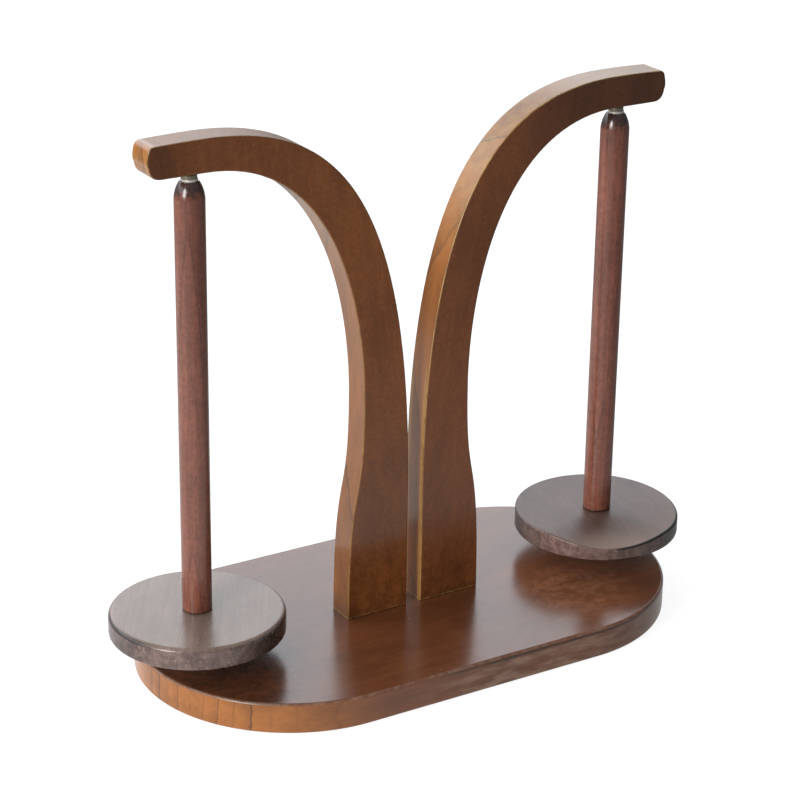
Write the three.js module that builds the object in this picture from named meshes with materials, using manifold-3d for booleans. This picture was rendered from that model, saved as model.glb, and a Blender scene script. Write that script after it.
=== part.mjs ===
// A yarn spool holder: two bent wooden arms on a stadium-shaped base board, and a spindle
// that hangs from a magnet under the tip of each arm.
// Millimetres, +Z up, -Y to the front. The origin is the middle of the base board's underside.
import * as THREE from "three";
import { mergeVertices } from "three/addons/utils/BufferGeometryUtils.js";
import Module from "manifold-3d";

const wasm = await Module();
wasm.setup();

// Base board
const baseLength = 299;
const baseWidth = 162;
const baseThickness = 16.4;
const baseArris = 1.6;

// Arms: each has a straight edge beside the other arm, a narrow waist and a tip that is level below
const armThickness = 16.4;
const armGap = 8.4;
const footWidth = 35.3;
const straightHeight = 65.9;
const waistHeight = 119.6;
const waistWidth = 26.8;
const tipClearHeight = 252.4;
const tipDepth = 16.7;
const tipOverhang = 25.2;
const tipFall = 0.5;
const crownOffset = 4.4;
const tipBulge = 1.3;
const tipUpperRound = 3;
const tipLowerRound = 6;
const magnetLand = 5;
const armArris = 0.9;

// How far each curve holds its first and last direction, as shares of that curve's rise or run
const backRisePull = 0.825;
const backRunPull = 0.585;
const footPull = 0.71;
const waistLowPull = 0.54;
const waistHighPull = 0.32;
const bellyRunPull = 0.85;

// Spindles
const spindleSpacing = 244.8;
const rodDiameter = 15;
const rodTaper = 8.5;
const rodShoulderDrop = 3.6;
const rodShoulderInset = 0.4;
const rodTipWall = 0.6;
const rodFootRound = 0.8;
const discDiameter = 89;
const discThickness = 11.5;
const discTopRound = 2.6;
const discBottomRound = 1.2;
const discFloat = 13;

// Cup magnets, the ball between them and the nylon ring round the ball. The rod's cup reaches up past
// its magnet, as a collar that hides the ball.
const cupDiameter = 8;
const cupHeight = 6;
const cupWall = 0.8;
const cupFloor = 1.2;
const cupEdge = 0.25;
const cupProud = 1.2;
const cupRecess = 0.6;
const collarHeight = 2;
const ballDiameter = 4;
const ringDiameter = 5.8;
const ringHeight = 0.8;

// Countersunk wood screws
const screwDiameter = 4;
const screwCoreDiameter = 2.8;
const screwHeadDiameter = 8;
const screwHeadHeight = 2.4;
const screwHeadRim = 0.4;
const screwPitch = 2;
const screwThreadShare = 0.6;
const screwPoint = 4;
const screwSink = 0.3;
const armScrewLength = 40;
const discScrewLength = 32;
const armScrewSpacing = 16;
const driveWidth = 0.9;
const driveSpan = 4.2;
const driveDepth = 1.6;

// Clearances
const glueLine = 0.1;
const rollingGap = 0.1;
const screwClearance = 0.1;
const holeEndGap = 1;
const cutOvershoot = 1;

// Facets round each kind of turned piece, and points along each curve
const screwSides = 10;
const cupSides = 24;
const ballSides = 16;
const ballBands = 10;
const rodSides = 32;
const rodShoulderSteps = 6;
const discSides = 60;
const lowerRoundSteps = 2;
const upperRoundSteps = 3;
const arrisSteps = 2;
const baseEndSteps = 30;
const armCurveSteps = 22;
const armCornerSteps = 4;
const samePoint = 1e-4;

// Heights that follow from the sizes above
const baseTop = baseThickness;
const footBottom = baseTop + glueLine;
const waistZ = baseTop + waistHeight;
const tipUnderside = baseTop + tipClearHeight;
const tipTop = tipUnderside + tipDepth;
const tipEndTop = tipTop - tipFall;
const armMagnetFace = tipUnderside + cupRecess;
const ballCentre = armMagnetFace - rollingGap - ballDiameter / 2;
const rodMagnetFace = ballCentre - ballDiameter / 2 - rollingGap;
const rodTop = rodMagnetFace - cupProud;
const discBottom = baseTop + discFloat;
const discTop = discBottom + discThickness;
const rodBottom = discTop + glueLine;
const rodRadius = rodDiameter / 2;
const cupBoreRadius = cupDiameter / 2 + glueLine;
const rodTipRadius = cupBoreRadius + rodTipWall;

// Places across the arms
const backEdgeX = armGap / 2;
const bellyFootX = backEdgeX + footWidth;
const waistX = backEdgeX + waistWidth;
const spindleX = spindleSpacing / 2;
const tipX = spindleX + tipOverhang;
const crownX = spindleX - crownOffset;
const landX = spindleX - magnetLand;
const footMiddleX = backEdgeX + footWidth / 2;

const wood = (color, roughness) => new THREE.MeshStandardMaterial({ color, roughness, metalness: 0 });
const metal = (color, roughness) => new THREE.MeshStandardMaterial({ color, roughness, metalness: 1 });
const boardWood = wood(0x8a5a3a, 0.35);
const armWood = wood(0x6b4029, 0.4);
const rodWood = wood(0x7a4638, 0.4);
const discWood = wood(0x5c4038, 0.4);
const nickel = metal(0xd8d4c8, 0.15);
const magnetPlate = metal(0xb9b6ae, 0.2);
const bearingSteel = metal(0xcfd2d6, 0.08);
const screwSteel = metal(0xc2b27a, 0.35);
const blackNylon = new THREE.MeshStandardMaterial({ color: 0x1a1917, roughness: 0.5, metalness: 0 });

// Closed triangles of a geometry as a solid that can be cut
function solidOf(geometry) {
  const bare = geometry.index ? geometry.toNonIndexed() : geometry.clone();
  bare.deleteAttribute("normal");
  bare.deleteAttribute("uv");
  const merged = mergeVertices(bare, samePoint);
  return new wasm.Manifold(
    new wasm.Mesh({
      numProp: 3,
      vertProperties: merged.attributes.position.array,
      triVerts: new Uint32Array(merged.index.array),
    }),
  );
}

// The geometry with each tool's shape cut out of it
function cut(geometry, tools) {
  const left = tools.reduce((body, tool) => body.subtract(solidOf(tool)), solidOf(geometry)).getMesh();
  const points = new Float32Array(left.numVert * 3);
  for (let i = 0; i < left.numVert; i++) {
    points.set(left.vertProperties.subarray(i * left.numProp, i * left.numProp + 3), i * 3);
  }
  const result = new THREE.BufferGeometry();
  result.setAttribute("position", new THREE.BufferAttribute(points, 3));
  result.setIndex(new THREE.BufferAttribute(left.triVerts, 1));
  result.computeVertexNormals();
  return result;
}

function piece(name, geometry, material, x = 0, z = 0) {
  const mesh = new THREE.Mesh(geometry, material);
  mesh.name = name;
  mesh.position.set(x, 0, z);
  return mesh;
}

// A shape turned about the Z axis; the profile is [radius, height] from its lowest end to its top
function turned(profile, sides) {
  const points = profile.map(([radius, height]) => new THREE.Vector2(radius, height));
  return new THREE.LatheGeometry(points, sides).rotateX(Math.PI / 2);
}

// Points of a quarter-round corner of a turned profile, from one angle to another about its centre
function cornerArc(centreR, centreZ, radius, fromDeg, toDeg, steps) {
  return Array.from({ length: steps + 1 }, (_, i) => {
    const angle = THREE.MathUtils.degToRad(fromDeg + ((toDeg - fromDeg) * i) / steps);
    return [centreR + radius * Math.cos(angle), centreZ + radius * Math.sin(angle)];
  });
}

// A countersunk wood screw with its head down, from the head's face at z = 0 up to its point
function screwGeometry(length) {
  const core = screwCoreDiameter / 2;
  const crest = screwDiameter / 2;
  const threadEnd = length - screwPoint;
  const threadCount = Math.floor((length * screwThreadShare) / screwPitch);
  const threadStart = threadEnd - threadCount * screwPitch;
  const profile = [
    [0, 0],
    [screwHeadDiameter / 2, 0],
    [screwHeadDiameter / 2, screwHeadRim],
    [crest, screwHeadHeight],
    [crest, threadStart - screwPitch / 2],
    [core, threadStart],
  ];
  for (let i = 0; i < threadCount; i++) {
    profile.push([crest, threadStart + (i + 0.5) * screwPitch], [core, threadStart + (i + 1) * screwPitch]);
  }
  profile.push([0, length]);
  const slots = [0, Math.PI / 2].map((turn) =>
    new THREE.BoxGeometry(driveSpan, driveWidth, 2 * driveDepth).rotateZ(turn),
  );
  return cut(turned(profile, screwSides), slots);
}

// The hole that a screw of this length needs, from the face that its head is sunk into
function screwHole(length, x = 0, z = 0) {
  const bore = screwDiameter / 2 + screwClearance;
  const mouth = screwHeadDiameter / 2 + screwClearance;
  const deep = screwSink + length + holeEndGap;
  return turned(
    [
      [0, -cutOvershoot],
      [mouth, -cutOvershoot],
      [mouth, screwSink + screwHeadRim],
      [bore, screwSink + screwHeadHeight],
      [bore, deep],
      [0, deep],
    ],
    screwSides,
  ).translate(x, 0, z);
}

// A steel cup that opens upwards from z = 0 and holds a disc magnet whose face is at cupHeight
function cupGeometry(rimHeight) {
  const outer = cupDiameter / 2;
  const inner = outer - cupWall;
  return turned(
    [
      [0, 0],
      [outer - cupEdge, 0],
      [outer, cupEdge],
      [outer, rimHeight - cupEdge],
      [outer - cupEdge, rimHeight],
      [inner, rimHeight],
      [inner, cupFloor],
      [0, cupFloor],
    ],
    cupSides,
  );
}

function magnetGeometry() {
  const radius = cupDiameter / 2 - cupWall - glueLine;
  const bottom = cupFloor + glueLine;
  return turned(
    [
      [0, bottom],
      [radius, bottom],
      [radius, cupHeight],
      [0, cupHeight],
    ],
    cupSides,
  );
}

// The ring round the ball's waist, about z = 0
function ringGeometry() {
  const inner = ballDiameter / 2 + rollingGap;
  const outer = ringDiameter / 2;
  const half = ringHeight / 2;
  return turned(
    [
      [inner, -half],
      [outer, -half],
      [outer, half],
      [inner, half],
      [inner, -half],
    ],
    cupSides,
  );
}

// The blind bore for a cup, with its mouth at z = 0 and its end at the given depth below
function cupBore(depth) {
  return turned(
    [
      [0, -depth],
      [cupBoreRadius, -depth],
      [cupBoreRadius, cutOvershoot],
      [0, cutOvershoot],
    ],
    cupSides,
  );
}

// Where the arm screws stand, on one side of the holder
const armScrewPlaces = {
  inner: footMiddleX - armScrewSpacing / 2,
  outer: footMiddleX + armScrewSpacing / 2,
};

function baseBoard() {
  const endRadius = baseWidth / 2;
  const endX = baseLength / 2 - endRadius;
  const outline = new THREE.Shape();
  outline.absarc(endX, 0, endRadius, -Math.PI / 2, Math.PI / 2, false);
  outline.absarc(-endX, 0, endRadius, Math.PI / 2, (3 * Math.PI) / 2, false);
  const board = new THREE.ExtrudeGeometry(outline, {
    depth: baseThickness - 2 * baseArris,
    curveSegments: baseEndSteps,
    bevelThickness: baseArris,
    bevelSize: baseArris,
    bevelOffset: -baseArris,
    bevelSegments: arrisSteps,
  }).translate(0, 0, baseArris);
  const holes = [-1, 1].flatMap((side) =>
    Object.values(armScrewPlaces).map((x) => screwHole(armScrewLength, side * x)),
  );
  return piece("base_board", cut(board, holes), boardWood);
}

// The outline of an arm in X and Z. The back is the edge that faces the other arm and becomes the
// top of the tip; the belly is the edge that faces the yarn and becomes the tip's underside.
function armOutline(side) {
  const at = (x, z) => new THREE.Vector2(side * x, z);
  const corner = (start, middle, end) =>
    new THREE.QuadraticBezierCurve(start, middle, end).getPoints(armCornerSteps);
  const sweep = (start, pullA, pullB, end) =>
    new THREE.CubicBezierCurve(start, pullA, pullB, end).getPoints(armCurveSteps);

  const straightTop = baseTop + straightHeight;
  const cornerX = tipX - tipBulge;
  const backRise = tipTop - straightTop;
  const backRun = crownX - backEdgeX;
  const back = sweep(
    at(backEdgeX, straightTop),
    at(backEdgeX, straightTop + backRisePull * backRise),
    at(crownX - backRunPull * backRun, tipTop),
    at(crownX, tipTop),
  );

  const backEnd = at(cornerX - tipUpperRound, tipEndTop);
  const endTop = at(tipX - tipBulge / 2, tipEndTop - tipUpperRound);
  const endBottom = at(tipX - tipBulge / 2, tipUnderside + tipLowerRound);
  const tip = [
    ...corner(at(crownX, tipTop), at((crownX + cornerX - tipUpperRound) / 2, tipTop), backEnd),
    ...corner(backEnd, at(cornerX, tipEndTop), endTop),
    ...corner(endTop, at(tipX + tipBulge / 2, (tipEndTop + tipUnderside) / 2), endBottom),
    ...corner(endBottom, at(cornerX, tipUnderside), at(cornerX - tipLowerRound, tipUnderside)),
  ];

  const bellyRise = tipUnderside - waistZ;
  const bellyRun = landX - waistX;
  const belly = sweep(
    at(landX, tipUnderside),
    at(landX - bellyRunPull * bellyRun, tipUnderside),
    at(waistX, waistZ + waistHighPull * bellyRise),
    at(waistX, waistZ),
  );
  const footRise = waistZ - footBottom;
  const foot = sweep(
    at(waistX, waistZ),
    at(waistX, waistZ - waistLowPull * footRise),
    at(bellyFootX, footBottom + footPull * footRise),
    at(bellyFootX, footBottom),
  );
  const points = [at(backEdgeX, footBottom), ...back, ...tip, ...belly, ...foot];
  const isNew = (point, i) => i === 0 || point.distanceTo(points[i - 1]) > samePoint;
  return new THREE.Shape(points.filter(isNew));
}

function arm(name, side) {
  const board = new THREE.ExtrudeGeometry(armOutline(side), {
    depth: armThickness - 2 * armArris,
    bevelThickness: armArris,
    bevelSize: armArris,
    bevelOffset: -armArris,
    bevelSegments: arrisSteps,
  })
    .rotateX(Math.PI / 2)
    .translate(0, armThickness / 2 - armArris, 0);
  const magnetBore = cupBore(cupRecess + cupHeight + glueLine)
    .rotateX(Math.PI)
    .translate(side * spindleX, 0, tipUnderside);
  const holes = Object.values(armScrewPlaces).map((x) => screwHole(armScrewLength, side * x));
  return piece(name, cut(board, [magnetBore, ...holes]), armWood);
}

function rod(name) {
  const bore = cupBore(cupHeight - cupProud + glueLine).translate(0, 0, rodTop);
  const footRoundZ = rodBottom + rodFootRound;
  const bottomRound = cornerArc(rodRadius - rodFootRound, footRoundZ, rodFootRound, -90, 0, lowerRoundSteps);
  const shoulder = new THREE.QuadraticBezierCurve(
    new THREE.Vector2(rodRadius, rodTop - rodTaper),
    new THREE.Vector2(rodRadius - rodShoulderInset, rodTop - rodShoulderDrop),
    new THREE.Vector2(rodTipRadius, rodTop),
  );
  const top = shoulder.getPoints(rodShoulderSteps).map((point) => [point.x, point.y]);
  const body = turned([[0, rodBottom], ...bottomRound, ...top, [0, rodTop]], rodSides);
  return piece(name, cut(body, [bore, screwHole(discScrewLength, 0, discBottom)]), rodWood);
}

function disc(name) {
  const radius = discDiameter / 2;
  const lowerRoundZ = discBottom + discBottomRound;
  const upperRoundZ = discTop - discTopRound;
  const profile = [
    [0, discBottom],
    ...cornerArc(radius - discBottomRound, lowerRoundZ, discBottomRound, -90, 0, lowerRoundSteps),
    ...cornerArc(radius - discTopRound, upperRoundZ, discTopRound, 0, 90, upperRoundSteps),
    [0, discTop],
  ];
  return piece(name, cut(turned(profile, discSides), [screwHole(discScrewLength, 0, discBottom)]), discWood);
}

// A cup magnet that opens downwards, under the arm's tip
function armMagnet(label) {
  const turnedOver = (geometry) => geometry.rotateX(Math.PI);
  const top = armMagnetFace + cupHeight;
  return [
    piece(`${label}_arm_magnet_cup`, turnedOver(cupGeometry(cupHeight)), nickel, 0, top),
    piece(`${label}_arm_magnet`, turnedOver(magnetGeometry()), magnetPlate, 0, top),
  ];
}

// Everything that hangs from the arm's magnet
function spindle(label) {
  const cupBottom = rodMagnetFace - cupHeight;
  const ball = new THREE.SphereGeometry(ballDiameter / 2, ballSides, ballBands);
  const group = new THREE.Group();
  group.add(
    piece(`${label}_bearing_ball`, ball, bearingSteel, 0, ballCentre),
    piece(`${label}_ball_ring`, ringGeometry(), blackNylon, 0, ballCentre),
    piece(`${label}_rod_magnet_cup`, cupGeometry(cupHeight + collarHeight), nickel, 0, cupBottom),
    piece(`${label}_rod_magnet`, magnetGeometry(), magnetPlate, 0, cupBottom),
    rod(`${label}_rod`),
    disc(`${label}_disc`),
    piece(`${label}_disc_screw`, screwGeometry(discScrewLength), screwSteel, 0, discBottom + screwSink),
  );
  return group;
}

const group = new THREE.Group();
group.add(baseBoard());
for (const [label, side] of [
  ["left", -1],
  ["right", 1],
]) {
  group.add(arm(`${label}_arm`, side));
  for (const [place, x] of Object.entries(armScrewPlaces)) {
    const screw = screwGeometry(armScrewLength);
    group.add(piece(`${label}_arm_${place}_screw`, screw, screwSteel, side * x, screwSink));
  }
  const hanging = new THREE.Group();
  hanging.position.x = side * spindleX;
  hanging.add(...armMagnet(label), spindle(label));
  group.add(hanging);
}

export default group;
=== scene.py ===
import math

import bmesh
import bpy
from mathutils import Matrix, Vector


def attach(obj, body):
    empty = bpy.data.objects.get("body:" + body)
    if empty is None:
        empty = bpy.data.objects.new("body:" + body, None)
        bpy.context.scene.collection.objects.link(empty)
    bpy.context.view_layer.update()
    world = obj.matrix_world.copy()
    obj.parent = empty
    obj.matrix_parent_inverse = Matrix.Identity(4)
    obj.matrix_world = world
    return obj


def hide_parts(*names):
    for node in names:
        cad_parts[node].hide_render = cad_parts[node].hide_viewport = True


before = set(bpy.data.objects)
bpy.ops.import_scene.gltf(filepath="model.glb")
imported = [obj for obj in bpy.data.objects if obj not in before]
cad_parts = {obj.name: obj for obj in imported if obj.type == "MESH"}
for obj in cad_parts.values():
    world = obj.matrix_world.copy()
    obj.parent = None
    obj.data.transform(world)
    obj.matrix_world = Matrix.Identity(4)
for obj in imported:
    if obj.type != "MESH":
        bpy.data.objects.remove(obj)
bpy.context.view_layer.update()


# The camera: a long lens in front of the holder, to its left and above it, that looks down past the left
# spindle.
lens_place = Vector((-0.6137, -0.9853, 0.6056))
lens_azimuth = math.radians(-31.6992)
lens_height = math.radians(22.3362)
lens_roll = math.radians(0.8823)
lens_pixels = 2457.8
photo_pixels = 800
sensor_width = 36.0

bpy.ops.object.select_all(action="DESELECT")
bpy.ops.object.camera_add()
camera = bpy.context.object
camera.name = "photo_camera"
camera.data.sensor_width = sensor_width
camera.data.lens = lens_pixels / photo_pixels * sensor_width
camera.data.clip_start = 0.05
camera.data.clip_end = 30
camera.matrix_world = (
    Matrix.Translation(lens_place)
    @ Matrix.Rotation(lens_azimuth, 4, "Z")
    @ Matrix.Rotation(math.pi / 2 - lens_height, 4, "X")
    @ Matrix.Rotation(lens_roll, 4, "Z")
)
bpy.context.scene.camera = camera
bpy.context.scene.view_settings.view_transform = "Standard"


# The studio: a white floor that glows most on the left, a soft light low on the left, and a bright
# backdrop behind the holder. Little light comes from the camera's side or from the right.
mm = 0.001
white = (1, 1, 1, 1)
floor_level = -0.2 * mm
floor_tone = (0.3, 0.3, 0.3, 1)
floor_strength = 0.86
glow_tone = (0.16, 0.16, 0.16, 1)
glow_middle = (-0.42, 0.05, 0)
glow_reach = (0.25, 0.87)
glow_strength = (0.86, 0.12)
backdrop_side = Vector((-0.35, 0.94, 0)).normalized()
backdrop_strength = (2.72, 0.3)
ceiling_strength = (0.22, 0.42)
room_tone = (0.94, 0.98, 1.03, 1)
key_place = Vector((-1.52, -0.62, 0.66))
key_aim = Vector((0, 0, 0.14))


def put(tree, kind, inputs=None, **settings):
    """Adds a shader node; a socket given as an input is linked, and anything else is set."""
    made = tree.nodes.new("ShaderNode" + kind)
    for key, value in settings.items():
        setattr(made, key, value)
    for key, value in (inputs or {}).items():
        if isinstance(value, bpy.types.NodeSocket):
            tree.links.new(value, made.inputs[key])
        else:
            made.inputs[key].default_value = value
    return made


def sums(tree, operation, *values):
    """Arithmetic on one value, or on several in turn, as an output socket."""
    result = values[0]
    for other in values[1:] or (0.0,):
        result = put(tree, "Math", {0: result, 1: other}, operation=operation).outputs[0]
    return result


def ramped(tree, value, low, high, start=0.0, end=1.0, smooth=True):
    """The value carried from the range low to high onto start to end."""
    kind = "SMOOTHSTEP" if smooth else "LINEAR"
    sockets = {"Value": value, "From Min": low, "From Max": high, "To Min": start, "To Max": end}
    return put(tree, "MapRange", sockets, interpolation_type=kind).outputs["Result"]


def along(tree, vector, direction):
    """How far a vector reaches in a direction."""
    return put(tree, "VectorMath", {0: vector, 1: direction}, operation="DOT_PRODUCT").outputs["Value"]


def apart(tree, first, second):
    """How far two places are from each other."""
    return put(tree, "VectorMath", {0: first, 1: second}, operation="DISTANCE").outputs["Value"]


def toned(tree, factor, first, second):
    """Two colours mixed by a factor, as an output socket. A Mix node's colours are sockets 6 and 7."""
    return put(tree, "Mix", {"Factor": factor, 6: first, 7: second}, data_type="RGBA").outputs[2]


def glowing(tree, tone, strength):
    """A matt shader that also glows white, as an output socket."""
    matt = put(tree, "BsdfDiffuse", {"Color": tone})
    glow = put(tree, "Emission", {"Color": white, "Strength": strength})
    return put(tree, "AddShader", {0: matt.outputs[0], 1: glow.outputs[0]}).outputs[0]


bpy.ops.object.select_all(action="DESELECT")
bpy.ops.mesh.primitive_plane_add(size=14, location=(0, 0, floor_level))
floor = bpy.context.object
floor.name = "studio_floor"
floor_paint = bpy.data.materials.new("floor_paint")
floor_paint.use_nodes = True
floor_tree = floor_paint.node_tree
floor_tree.nodes.clear()
floor_seen = glowing(floor_tree, floor_tone, floor_strength)
floor_away = apart(floor_tree, put(floor_tree, "TexCoord").outputs["Object"], glow_middle)
floor_cast = glowing(floor_tree, glow_tone, ramped(floor_tree, floor_away, *glow_reach, *glow_strength))
floor_ray = put(floor_tree, "LightPath").outputs["Is Camera Ray"]
floor_shader = put(floor_tree, "MixShader", {0: floor_ray, 1: floor_cast, 2: floor_seen})
put(floor_tree, "OutputMaterial", {"Surface": floor_shader.outputs[0]})
floor.data.materials.append(floor_paint)

room = bpy.data.worlds.new("studio_room")
bpy.context.scene.world = room
room.use_nodes = True
room_tree = room.node_tree
room_tree.nodes.clear()
room_way = put(room_tree, "TexCoord").outputs["Generated"]
room_up = put(room_tree, "SeparateXYZ", {0: room_way}).outputs["Z"]
backdrop = sums(
    room_tree,
    "MULTIPLY",
    ramped(room_tree, along(room_tree, room_way, backdrop_side), -0.05, 0.62),
    ramped(room_tree, room_up, 0.04, 0.4, 0.1, 1.0),
    ramped(room_tree, room_up, 0.48, 0.85, *backdrop_strength),
)
ceiling = ramped(room_tree, room_up, 0.1, 0.9, *ceiling_strength)
room_light = sums(room_tree, "ADD", backdrop, ceiling)
room_seen = put(room_tree, "LightPath").outputs["Is Camera Ray"]
room_light = put(room_tree, "Mix", {"Factor": room_seen, 2: room_light, 3: 1.0}).outputs[0]
room_tint = toned(room_tree, room_seen, room_tone, white)
room_shader = put(room_tree, "Background", {"Color": room_tint, "Strength": room_light})
put(room_tree, "OutputWorld", {"Surface": room_shader.outputs[0]})

bpy.ops.object.light_add(type="AREA", location=key_place)
key_light = bpy.context.object
key_light.name = "key_softbox"
key_light.data.shape = "RECTANGLE"
key_light.data.size = 0.5
key_light.data.size_y = 0.6
key_light.data.energy = 19.5
key_light.data.color = (1.0, 0.985, 0.96)
key_light.rotation_euler = (key_aim - key_place).to_track_quat("-Z", "Y").to_euler()


# The wood that every board and turning is made of. Growth rings are long cylinders round the tree's
# pith, which lies along Z; fibres, pores and clouds of stain are drawn out along the same axis.
def grouped(name, inputs, outputs):
    """A node group with named sockets, each given with its kind, and an input with its usual value too.
    It comes with what goes into it and what it puts out."""
    made = bpy.data.node_groups.new(name, "ShaderNodeTree")
    for label, kind, usual in inputs:
        socket = made.interface.new_socket(label, in_out="INPUT", socket_type="NodeSocket" + kind)
        if usual is not None:
            socket.default_value = usual
    for label, kind in outputs:
        made.interface.new_socket(label, in_out="OUTPUT", socket_type="NodeSocket" + kind)
    return made, made.nodes.new("NodeGroupInput").outputs, made.nodes.new("NodeGroupOutput").inputs


def vector_sums(tree, operation, first, second):
    """One step of arithmetic on vectors, as an output socket."""
    return put(tree, "VectorMath", {0: first, 1: second}, operation=operation).outputs[0]


def scaled(tree, vector, share):
    """A vector made longer or shorter, as an output socket."""
    return put(tree, "VectorMath", {0: vector, "Scale": share}, operation="SCALE").outputs[0]


def levelled(tree, vector):
    """A vector with its height left out."""
    return vector_sums(tree, "MULTIPLY", vector, (1, 1, 0))


def reach(tree, vector):
    """How long a vector is."""
    return put(tree, "VectorMath", {0: vector}, operation="LENGTH").outputs["Value"]


def drawn_out(tree, point, across, along_grain, **sockets):
    """Noise on millimetres whose lumps are so wide across the grain and so long along it."""
    size = vector_sums(tree, "MULTIPLY", point, (1 / across, 1 / across, 1 / along_grain))
    return put(tree, "TexNoise", {"Vector": size, "Scale": 1.0, **sockets})


figure, figure_in, figure_out = grouped(
    "wood_figure",
    [("Vector", "Vector", None), ("Ring width mm", "Float", None), ("Waver mm", "Float", None)],
    [(label, "Float") for label in ("Ring", "Streak", "Fibre", "Pore", "Cloud", "Speck")],
)
wood_point = scaled(figure, figure_in["Vector"], 1 / mm)
bend = drawn_out(figure, wood_point, 70, 260, Detail=2.0, Roughness=0.5).outputs["Color"]
bend = scaled(figure, vector_sums(figure, "SUBTRACT", bend, (0.5, 0.5, 0.5)), figure_in["Waver mm"])
bent = vector_sums(figure, "ADD", wood_point, bend)
from_pith = reach(figure, levelled(figure, bent))
uneven = drawn_out(figure, wood_point, 5, 90, Detail=2.0).outputs["Fac"]
rings = sums(figure, "DIVIDE", from_pith, figure_in["Ring width mm"])
rings = sums(figure, "ADD", rings, sums(figure, "MULTIPLY", uneven, 0.25))
year = sums(figure, "FLOOR", rings)
growth = sums(figure, "FRACT", rings)
soft_part = sums(figure, "MULTIPLY", ramped(figure, growth, 0.2, 0.9), 0.35)
hard_part = sums(figure, "MULTIPLY", ramped(figure, growth, 0.84, 0.95), 0.65)
harvest = put(figure, "TexWhiteNoise", {"W": year}, noise_dimensions="1D").outputs["Value"]
late = sums(
    figure,
    "MULTIPLY",
    sums(figure, "ADD", soft_part, hard_part),
    ramped(figure, growth, 0.965, 1.0, 1.0, 0.0),
    ramped(figure, harvest, 0.1, 0.9, 0.15, 1.0),
)
streak = drawn_out(figure, bent, 2.2, 120, Detail=5.0, Roughness=0.6).outputs["Fac"]
fibre = drawn_out(figure, wood_point, 0.35, 14, Detail=3.0, Roughness=0.65).outputs["Fac"]
pore = drawn_out(figure, wood_point, 0.45, 7, Detail=1.0).outputs["Fac"]
cloud = drawn_out(figure, wood_point, 22, 60, Detail=4.0, Roughness=0.6).outputs["Fac"]
speck = drawn_out(figure, wood_point, 1.1, 1.6, Detail=2.0, Roughness=0.7).outputs["Fac"]
for label, socket in (
    ("Ring", late),
    ("Streak", ramped(figure, streak, 0.3, 0.7)),
    ("Fibre", fibre),
    ("Pore", ramped(figure, pore, 0.64, 0.74)),
    ("Cloud", ramped(figure, cloud, 0.3, 0.7)),
    ("Speck", ramped(figure, speck, 0.69, 0.76)),
):
    figure.links.new(socket, figure_out[label])


# The stain on all the wood: brown and uneven, with one tone for the faces and one for the edges, and thin
# where it is worn. The pieces' marks also paint light, shade and highlights into it through its Edge, Shade
# and Worn masks. Its lacquer follows the fibres and is duller where it is rubbed.
grain_relief = 0.12 * mm


def spread(tree, mask, start, end):
    """A mask of 0 to 1 carried onto a range."""
    return ramped(tree, mask, 0, 1, start, end)


finish_outputs = [("Colour", "Color"), ("Roughness", "Float"), ("Height", "Float")]
stain, stain_in, stain_out = grouped(
    "wood_stain",
    [
        ("Vector", "Vector", None),
        ("Edge", "Float", 0.0),
        ("Shade", "Float", 1.0),
        ("Worn", "Float", 0.0),
        ("Rough", "Float", 0.0),
        ("Face tone", "Color", (0.19, 0.06, 0.015, 1)),
        ("Edge tone", "Color", (0.3, 0.1, 0.02, 1)),
        ("Late wood tone", "Color", (0.055, 0.02, 0.01, 1)),
        ("Worn tone", "Color", (0.42, 0.27, 0.18, 1)),
        ("Ring width mm", "Float", 6.5),
        ("Waver mm", "Float", 14.0),
        ("Face lines", "Float", 0.1),
        ("Edge lines", "Float", 0.7),
        ("Streaks", "Float", 0.06),
        ("Speckle", "Float", 0.3),
        ("Gloss", "Float", 0.25),
    ],
    finish_outputs,
)
grain_in = {label: stain_in[label] for label in ("Vector", "Ring width mm", "Waver mm")}
grain = put(stain, "Group", grain_in, node_tree=figure).outputs
line_range = (stain_in["Face lines"], stain_in["Edge lines"])
line_share = ramped(stain, stain_in["Edge"], 0, 1, *line_range, smooth=False)
light_streak = sums(stain, "ADD", 1.0, stain_in["Streaks"])
dark_streak = sums(stain, "SUBTRACT", 1.0, stain_in["Streaks"])
dark_pore = sums(stain, "SUBTRACT", 1.0, sums(stain, "MULTIPLY", stain_in["Streaks"], 3.0))
light = sums(
    stain,
    "MULTIPLY",
    stain_in["Shade"],
    spread(stain, grain["Cloud"], 0.86, 1.15),
    spread(stain, grain["Streak"], light_streak, dark_streak),
    spread(stain, grain["Pore"], 1.0, dark_pore),
    ramped(stain, grain["Fibre"], 0.3, 0.7, 0.96, 1.04),
)
speckled = sums(stain, "MULTIPLY", grain["Speck"], stain_in["Speckle"])
# Pale where worn and where the marks put painted highlights and light.
bare_and_highlit = sums(stain, "MAXIMUM", speckled, stain_in["Worn"])
tone = toned(stain, stain_in["Edge"], stain_in["Face tone"], stain_in["Edge tone"])
tone = toned(stain, sums(stain, "MULTIPLY", grain["Ring"], line_share), tone, stain_in["Late wood tone"])
tone = put(stain, "HueSaturation", {"Color": tone, "Value": light}).outputs[0]
stain.links.new(toned(stain, bare_and_highlit, tone, stain_in["Worn tone"]), stain_out["Colour"])
dull_fibre = ramped(stain, grain["Fibre"], 0.3, 0.7, -0.04, 0.06)
dull_wear = sums(stain, "MULTIPLY", bare_and_highlit, 0.2)
rough = sums(stain, "ADD", dull_fibre, stain_in["Gloss"], stain_in["Rough"], dull_wear)
stain.links.new(rough, stain_out["Roughness"])
height = sums(stain, "ADD", grain["Fibre"], sums(stain, "MULTIPLY", grain["Pore"], -1.5), grain["Speck"])
stain.links.new(height, stain_out["Height"])


def marked(name, *numbers):
    """A group for one kind of piece. From a place on it in millimetres, and numbers for one such piece,
    it is to put out where the edges are, how light the stain is, painted light and shade included, where it
    is worn, painted highlights included, and where it is dull."""
    inputs = [("Vector", "Vector", None)] + [(number, "Float", None) for number in numbers]
    return grouped(name, inputs, [(mask, "Float") for mask in ("Edge", "Shade", "Worn", "Rough")])


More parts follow.
